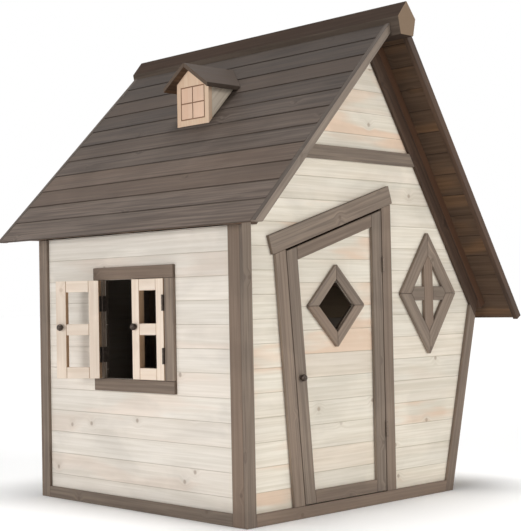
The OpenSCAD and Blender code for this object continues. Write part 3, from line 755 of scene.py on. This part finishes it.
@dataclass
class Knob:
    """A ball on a short stem, taken from one solid of a node."""

    centre: Array
    ball: float
    corners: Array

    rings: ClassVar[int] = 20
    steps: ClassVar[int] = 40
    tip: ClassVar[float] = 0.05
    level_slack: ClassVar[float] = 1e-5

    @classmethod
    def of(cls, corners: Array) -> "Knob":
        """Recovers the ball from its solid.

        The nearest sphere has the centre c and the number k that best solve |p|^2 = 2 c . p + k for
        all corners p, and its radius is the root of k + |c|^2.

        Args:
            corners: Corner points.

        Returns:
            The knob.
        """
        terms = np.column_stack([2 * corners, np.ones(len(corners))])
        answer = np.linalg.lstsq(terms, (corners ** 2).sum(axis=1), rcond=None)[0]
        centre = answer[:3]
        return cls(centre, math.sqrt(answer[3] + centre @ centre), corners)

    def patch(self, axis: Array) -> Patch:
        """Computes the knob's surface.

        The ring at turn f has radius ball * cos f and stands ball * sin f from the ball's centre.
        The rings start where they are as wide as the stem and end just short of the tip, and a ring
        of the stem's width is the foot.

        Args:
            axis: Direction in which the knob stands out.

        Returns:
            The surface.
        """
        offset = self.corners - self.centre
        level = offset @ axis
        foot = level.min()
        low = offset[level < foot + self.level_slack]
        stem = float(np.linalg.norm(low - np.outer(low @ axis, axis), axis=1).max())
        turn = np.linspace(-math.acos(stem / self.ball), math.pi / 2 - self.tip, self.rings)
        width = np.append(stem, self.ball * np.cos(turn))[:, None, None]
        rise = np.append(foot, self.ball * np.sin(turn))[:, None, None]
        lean = np.append(0.0, turn)[:, None, None]
        side = np.cross(axis, (0.0, 0.0, 1.0))
        side /= np.linalg.norm(side)
        spin = np.linspace(0, 2 * math.pi, self.steps, endpoint=False)[:, None]
        around = np.cos(spin) * side + np.sin(spin) * np.cross(axis, side)
        points = self.centre + width * around + rise * axis
        normals = np.cos(lean) * around + np.sin(lean) * axis
        loops, counts = tube(self.rings + 1, self.steps)
        return Patch(points.reshape(-1, 3), normals.reshape(-1, 3), loops, counts)


# Finishes


class Finish(Enum):
    """Finishes of the house, by the material slot that each one takes."""

    # end: brown cut ends of the planks, made darker still as painted shade for the shaded window
    # jamb
    WASH = TimberFinish(
        "whitewash", light=0xE9E2D5, dark=0xDAD2C2, warm=0xE2C2A7, knot=0x96826E, edge=0xA09280,
        end=0x40342B, under=0x94887C, warm_share=0.2, blush_share=0.72, knot_share=0.6,
        tone_spread=0.05)
    # end: brown cut ends of the planks, made darker still as painted shade for the shaded window
    # jamb
    PALE = TimberFinish(
        "whitewash", name="pale_whitewash", light=0xECE5DB, dark=0xDFD7CB, warm=0xE4CFBE,
        knot=0x968272, edge=0xA49686, end=0x40342B, under=0x94887C, warm_share=0.15,
        blush_share=0.4, knot_share=0.6, tone_spread=0.05)
    TRIM = TimberFinish(
        "taupe_trim", light=0x8E7F71, dark=0x6F6257, warm=0x826B5A, knot=0x4C3E34, edge=0x5E5147,
        end=0x685A4E, under=0x706257, warm_share=0.4, knot_share=0.4)
    ROOF = TimberFinish(
        "roof_board", light=0x5F554E, dark=0x423933, warm=0x5C4B3F, knot=0x322923, edge=0x28221E,
        end=0x5C4E43, under=0x594739, under_warm=0x6E543E, warm_share=0.36, knot_share=0.4,
        edge_share=0.75, tone_spread=0.12, fading=0.3, gloss=0.15)
    BARGE = TimberFinish(
        "barge", light=0x908377, dark=0x766A5F, warm=0x887566, knot=0x54463C, edge=0x64584E,
        end=0x76675B, under=0x50463E, warm_share=0.3, knot_share=0.3)
    # dark stain of soffit, rafters and right barges; on the gable trims it also stands for painted
    # shade under the overhang
    SOFFIT = TimberFinish(
        "soffit", light=0x5A4638, dark=0x3E2F25, warm=0x684834, knot=0x2C201A, edge=0x342821,
        end=0x5A473A, under=0x463A32, warm_share=0.5, blush_share=0.6, knot_share=0.4)
    RIDGE = TimberFinish(
        "ridge", light=0x463C35, dark=0x322A25, warm=0x44362E, knot=0x261F1B, edge=0x26201C,
        end=0x84715F, under=0x5A4F46, warm_share=0.4, knot_share=0.4, roughness=0.85, gloss=0.05)
    PEACH = TimberFinish(
        "peach_wood", light=0xF2E0CF, dark=0xE8D2BE, warm=0xE8BB9B, knot=0x96745A, edge=0x724A2A,
        end=0xC4AA90, under=0xDEC4AA, warm_share=0.55, knot_share=0.25, edge_share=0.85,
        tone_spread=0.06)
    # the shutters' darker under colour is painted shade on the shaded sides of their bars
    SHUTTER = TimberFinish(
        "peach_wood", name="shutter_wood", light=0xEDDECE, dark=0xE3D1BF, warm=0xDEC2A8,
        knot=0xA0826A, edge=0xCCB29A, end=0xD6C0A8, under=0xB8987A, warm_share=0.3, knot_share=0.3,
        edge_share=0.4, tone_spread=0.03)
    CHEEK = TimberFinish(
        "cheek_wood", light=0xE0D4C4, dark=0xCCBEAC, warm=0xC8B49C, knot=0x826A56, edge=0x968470,
        end=0xB4A088, under=0xB4A088, warm_share=0.3, knot_share=0.3)
    BARE = TimberFinish(
        "bare_wood", light=0xAA967C, dark=0x927F67, warm=0xA48A6E, knot=0x6E543E, edge=0x806C56,
        end=0x968066, under=0x927F67, warm_share=0.5, knot_share=0.7)
    METAL = MetalFinish("dark_metal", coat=0x3E352F, worn=0x5A4E45)
    PAINTED = MetalFinish("dark_metal", coat=0x685B50, worn=0x7A6C60, name="painted_metal")


# Workshop


def placed(name: str, data: ID) -> Object:
    """Returns a new object in the scene, at the origin, that holds the given data."""
    made = bpy.data.objects.new(name, data)
    bpy.context.scene.collection.objects.link(made)
    return made


class Workshop:
    """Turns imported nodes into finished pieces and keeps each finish's material."""

    def __init__(self, packed: dict) -> None:
        self.nodes: dict[str, Object] = packed["nodes"]
        self.body = {n: b for b, ns in packed["record"]["behaviour"]["bodies"].items() for n in ns}
        self.groups = Groups(GrainPattern().group(), WeatherPattern().group())
        self.materials: dict[Finish, Material] = {}

    def finish(self, piece: Object, finish: Finish) -> None:
        """Gives a piece its finish as its only material."""
        if finish not in self.materials:
            self.materials[finish] = finish.value.material(self.groups)
        piece.data.materials.clear()
        piece.data.materials.append(self.materials[finish])

    def stand_in(self, node: str, patch: Patch, finish: Finish) -> None:
        """Places a surface that stands for a node and moves with its body.

        Args:
            node: Name of the node.
            patch: Surface in the shared frame.
            finish: Finish of the piece.
        """
        piece = placed(f"{node}.looks", patch.mesh(node))
        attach(piece, self.body[node])
        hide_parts(node)
        self.finish(piece, finish)
        log.info("%s: %d faces on %s", piece.name, len(patch.counts), self.body[node])

    def boards(self, node: str, finish: Finish, radius: float, grow: float = 0.0,
               under: Triple = (0.0, 0.0, 0.0)) -> None:
        """Makes the rounded boards of a timber node.

        Args:
            node: Name of the node, which also seeds the random numbers of its boards.
            finish: Finish of the boards.
            radius: Radius of their edges in metres.
            grow: Distance by which they are widened to close their joints, in metres.
            under: Direction of the sheltered side, or of the side painted in shade, or zeros.
        """
        luck = np.random.default_rng(sum(ord(c) * (k + 1) for k, c in enumerate(node)))
        found = [Board.of(*solid, radius, grow) for solid in solids(self.nodes[node])]
        parts = [board.patch(under, luck) for board in found]
        self.stand_in(node, Patch.joined(parts), finish)

    def knobs(self, node: str) -> None:
        """Makes a leaf's two knobs, which point opposite ways, without stray single triangles."""
        found = solids(self.nodes[node])
        pair = [Knob.of(corners) for corners, triangles in found if len(triangles) > 1]
        axis = pair[1].centre - pair[0].centre
        axis /= np.linalg.norm(axis)
        parts = [knob.patch(way) for knob, way in zip(pair, (-axis, axis))]
        self.stand_in(node, Patch.joined(parts), Finish.METAL)

    def metal(self, node: str, finish: Finish = Finish.METAL) -> None:
        """Keeps a packed metal node and gives it its finish."""
        piece = self.nodes[node]
        self.finish(piece, finish)
        log.info("%s: %d faces on %s", node, len(piece.data.polygons), self.body[node])


# Sub-assemblies


@dataclass
class Wall:
    """A wall of planks with two posts, a rail and trims, and bare timber behind it."""

    name: str
    ends: tuple[str, str]
    inward: Triple
    wash: Finish = Finish.WASH
    trims: tuple[str, ...] = ()
    # trims in the dark soffit stain, which on the gables also stands for painted shade under the
    # roof's overhang
    dark: tuple[str, ...] = ()
    bare: tuple[str, ...] = ()
    plank_edge: float = 0.0016
    plank_grow: float = 0.00045
    trim_edge: float = 0.0018

    def build(self, shop: Workshop) -> None:
        """Makes the wall's boards."""
        shop.boards(f"{self.name}_planks", self.wash, self.plank_edge, self.plank_grow, self.inward)
        posts = (f"{self.name}_{end}_post" for end in self.ends)
        trims = (*posts, f"{self.name}_rail", *self.trims)
        finishes = ((Finish.TRIM, trims), (Finish.SOFFIT, self.dark), (Finish.BARE, self.bare))
        for finish, nodes in finishes:
            for node in nodes:
                shop.boards(node, finish, self.trim_edge)


@dataclass
class Roof:
    """Lapped boards on both slopes, rafters, barge strips and the ridge beam.

    The directions are those in which the underside of each slope and the beam's left side face.
    """

    left_under: Triple = (0.727, 0.0, -0.687)
    right_under: Triple = (-0.847, 0.0, -0.531)
    beam_side: Triple = (-0.9, 0.0, -0.436)
    board_edge: float = 0.0018
    board_grow: float = 0.00045
    beam_edge: float = 0.002
    rafter_edge: float = 0.002

    def build(self, shop: Workshop) -> None:
        """Makes the roof's boards."""
        slopes = (("left", self.left_under, Finish.BARGE),
                  ("right", self.right_under, Finish.SOFFIT))
        for side, under, barge in slopes:
            shop.boards(f"{side}_roof_boards", Finish.ROOF, self.board_edge, self.board_grow,
                        under=under)
            shop.boards(f"{side}_rafters", Finish.SOFFIT, self.rafter_edge)
            upper = tuple(-c for c in under)
            for end in ("front", "back"):
                shop.boards(f"barge_{end}_{side}", barge, self.board_edge, under=upper)
        shop.boards("ridge_beam", Finish.RIDGE, self.beam_edge, under=self.beam_side)


@dataclass
class Dormer:
    """Small blind dormer: a carved front board, two cheeks and two roof boards.

    The engraved lines lie between the two groove depths, in triangles shorter than line_reach.
    """

    edge: float = 0.0016
    near_under: Triple = (0.0, 0.57, -0.82)
    far_under: Triple = (0.0, -0.57, -0.82)
    groove_depths: Span = (0.0005, 0.004)
    line_reach: float = 0.2
    grain_shift: float = 3.7

    def build(self, shop: Workshop) -> None:
        """Makes the dormer's boards."""
        shop.stand_in("dormer_front", self.carved(shop.nodes["dormer_front"]), Finish.PEACH)
        shop.boards("dormer_cheeks", Finish.CHEEK, self.edge)
        for side, under in (("near", self.near_under), ("far", self.far_under)):
            shop.boards(f"dormer_roof_{side}", Finish.ROOF, self.edge, under=under)

    def carved(self, node: Object) -> Patch:
        """Copies the front board, and marks its engraved lines and its border.

        Args:
            node: Packed front board, whose front faces -X.

        Returns:
            The copy. Its normals and marks belong to face corners, so that the grooves are crisp.
        """
        points, corners = packed_arrays(node.data)
        triangles = points[corners]
        normal = np.cross(triangles[:, 1] - triangles[:, 0], triangles[:, 2] - triangles[:, 0])
        normal /= np.linalg.norm(normal, axis=1, keepdims=True)
        front = triangles[:, :, 1:]
        back = triangles[:, :, 0].max(axis=1) - points[:, 0].min()
        shallow, deep = self.groove_depths
        short = np.ptp(front, axis=1).max(axis=1) < self.line_reach
        sunk = (back > shallow) & (back < deep) & short
        low, high = front[sunk].min(axis=(0, 1)), front[sunk].max(axis=(0, 1))
        centre = front.mean(axis=1)
        border = ~sunk & ((centre < low) | (centre > high)).any(axis=1)
        flat = triangles.reshape(-1, 3)
        places, loops = welded(flat)
        values = {
            "grain": flat[:, ::-1] + self.grain_shift,
            "tone": np.ones(len(flat)),
            "edge": np.repeat(sunk.astype(float), 3),
            "end_grain": np.zeros(len(flat)),
            "under": np.repeat(border.astype(float), 3),
        }
        counts = np.full(len(normal), 3)
        return Patch(places, np.repeat(normal, 3, axis=0), loops, counts, values, "CORNER")


@dataclass
class Door:
    """Crooked door leaf with its diamond, knobs and hinges."""

    inward: Triple = (0.0, 1.0, 0.0)
    plank_edge: float = 0.0016
    plank_grow: float = 0.00045
    frame_edge: float = 0.0018

    def build(self, shop: Workshop) -> None:
        """Makes the leaf and finishes its fittings."""
        shop.boards("door_planks", Finish.WASH, self.plank_edge, self.plank_grow, under=self.inward)
        shop.boards("door_frame", Finish.TRIM, self.frame_edge)
        shop.boards("door_diamond", Finish.TRIM, self.frame_edge)
        shop.knobs("door_knobs")
        for fitting in ("leaves", "plates", "pins"):
            shop.metal(f"door_hinge_{fitting}", Finish.PAINTED)


@dataclass
class Window:
    """Two shutters with two open panes each, their knobs and hinges.

    The reveals are the directions in which the shaded sides of the shutters' bars face, and those
    sides take a darker colour as painted shade.
    """

    left_reveal: Triple = (0.515, -0.857, 0.0)
    right_reveal: Triple = (0.0, -1.0, 0.0)
    shutter_edge: float = 0.0012

    def build(self, shop: Workshop) -> None:
        """Makes the shutters and finishes their fittings."""
        for side, reveal in (("left", self.left_reveal), ("right", self.right_reveal)):
            # each shutter's reveal side takes the darker under colour as painted shade
            shop.boards(f"{side}_shutter", Finish.SHUTTER, self.shutter_edge, under=reveal)
            shop.knobs(f"{side}_shutter_knobs")
            shop.metal(f"{side}_shutter_leaves")
        shop.metal("window_hinge_plates")
        shop.metal("window_hinge_pins")


# Stage


@dataclass(frozen=True)
class Lamp:
    """A wide far lamp.

    The source is the direction from the house to the lamp, and the spread is the lamp's width as
    seen from the house, in degrees.
    """

    name: str
    source: Triple
    spread: float
    power: float
    tint: Colour = (1.0, 1.0, 1.0)

    def build(self) -> None:
        """Adds the lamp to the scene."""
        light = bpy.data.lights.new(self.name, "SUN")
        light.angle = math.radians(self.spread)
        light.energy = self.power
        light.color = self.tint
        turn = (-Vector(self.source)).to_track_quat("-Z", "Y")
        placed(self.name, light).matrix_world = turn.to_matrix().to_4x4()


@dataclass
class Stage:
    """White surroundings, pale floor, soft light and a camera.

    The camera has the place, the turns in degrees and the focal length in pixels that were fitted
    to the photograph, whose long side is given in pixels too.
    """

    place: Triple = (-3.05256, -3.1610, 0.6494)
    heading: float = 44.243
    climb: float = 1.653
    roll: float = -1.123
    focal: float = 1266.342
    long_side: float = 531.0
    sensor: float = 36.0
    ambient: float = 0.11
    ambient_tint: Colour = (1.0, 0.99, 0.98)
    floor_reach: float = 60.0
    floor_shades: Span = (0.96, 0.98)
    floor_scale: float = 3.0
    floor_roughness: float = 0.9
    lamps: tuple[Lamp, ...] = (
        Lamp("left_box", (-0.97, -0.10, 0.06), 30.0, 1.9),
        Lamp("right_box", (0.30, -0.90, 0.22), 30.0, 1.4, (1.0, 0.985, 0.95)),
        Lamp("top_box", (0.0, 0.0, 1.0), 32.0, 2.55),
    )

    def build(self) -> None:
        """Sets the world, the floor, the lamps and the camera."""
        scene = bpy.context.scene
        scene.view_settings.view_transform = "Standard"
        scene.world = self.world()
        self.floor()
        for lamp in self.lamps:
            lamp.build()
        scene.camera = self.camera()

    def world(self) -> World:
        """Returns a world that is white to the camera and a soft even light to the house."""
        made = bpy.data.worlds.new("studio")
        made.use_nodes = True
        sh = Shader(made.node_tree)
        rays = sh.node("LightPath").outputs
        seen = sh.maths("MAXIMUM", rays["Is Camera Ray"], rays["Is Glossy Ray"])
        seen = sh.maths("MAXIMUM", seen, rays["Is Transmission Ray"])
        white = sh.node("Background", Color=(1.0, 1.0, 1.0), Strength=1.0)
        soft = sh.node("Background", Color=self.ambient_tint, Strength=self.ambient)
        mixed = sh.node("MixShader")
        for socket, source in zip(mixed.inputs, (seen, soft.outputs[0], white.outputs[0])):
            sh.feed(socket, source)
        sh.node("OutputWorld", Surface=mixed.outputs[0])
        return made

    def floor(self) -> None:
        """Lays a wide pale floor under the house."""
        grid = np.array([[-1, -1, 0], [1, -1, 0], [1, 1, 0], [-1, 1, 0]]) * self.floor_reach
        mesh = bpy.data.meshes.new("floor")
        mesh.from_pydata(grid.tolist(), [], [(0, 1, 2, 3)])
        made, sh = new_material("floor")
        place = sh.node("TexCoord").outputs["Object"]
        darker, lighter = ((shade,) * 3 for shade in self.floor_shades)
        colour = sh.mix(sh.noise(place, self.floor_scale), darker, lighter)
        sh.surface(Base_Color=colour, Roughness=self.floor_roughness, Specular_IOR_Level=0.0)
        mesh.materials.append(made)
        piece = placed("floor", mesh)

    def camera(self) -> Object:
        """Returns the camera at its fitted place."""
        turn, rise, tilt = (math.radians(a) for a in (self.heading, self.climb, self.roll))
        level = math.cos(rise)
        ahead = np.array([math.sin(turn) * level, math.cos(turn) * level, math.sin(rise)])
        right = np.array([math.cos(turn), -math.sin(turn), 0.0])
        up = np.cross(right, ahead)
        across = math.cos(tilt) * right + math.sin(tilt) * up
        upward = -math.sin(tilt) * right + math.cos(tilt) * up
        view = np.eye(4)
        view[:3] = np.column_stack([across, upward, -ahead, self.place])
        lens = bpy.data.cameras.new("camera")
        lens.sensor_width = self.sensor
        lens.lens = self.focal * self.sensor / self.long_side
        made = placed("camera", lens)
        made.matrix_world = Matrix(view.tolist())
        return made


def main() -> None:
    """Builds every piece in turn, then the stage."""
    shop = Workshop(frame)
    parts = [
        Wall("front", ("left", "right"), (0.0, 1.0, 0.0),
             trims=("gable_belt", "door_jamb_left", "door_jamb_right", "door_lintel",
                    "wall_diamond"),
             # the gable trims are dark partly as stain and partly as painted shade under the roof's
             # overhang
             dark=("gable_trim_left", "gable_trim_right")),
        Wall("left", ("front", "back"), (1.0, 0.0, 0.0), Finish.PALE, trims=("window_casing",)),
        Wall("right", ("front", "back"), (-0.969, 0.0, 0.249), bare=("right_batten",)),
        Wall("back", ("left", "right"), (0.0, -1.0, 0.0), trims=("back_belt",),
             # the back trims match the front gable's dark trims, partly stain and partly painted
             # shade
             dark=("back_trim_left", "back_trim_right"),
             bare=("back_batten", "corner_posts", "wall_plates")),
        Roof(),
        Dormer(),
        Door(),
        Window(),
    ]
    for part in parts:
        part.build(shop)
    Stage().build()


if __name__ == "__main__":
    main()
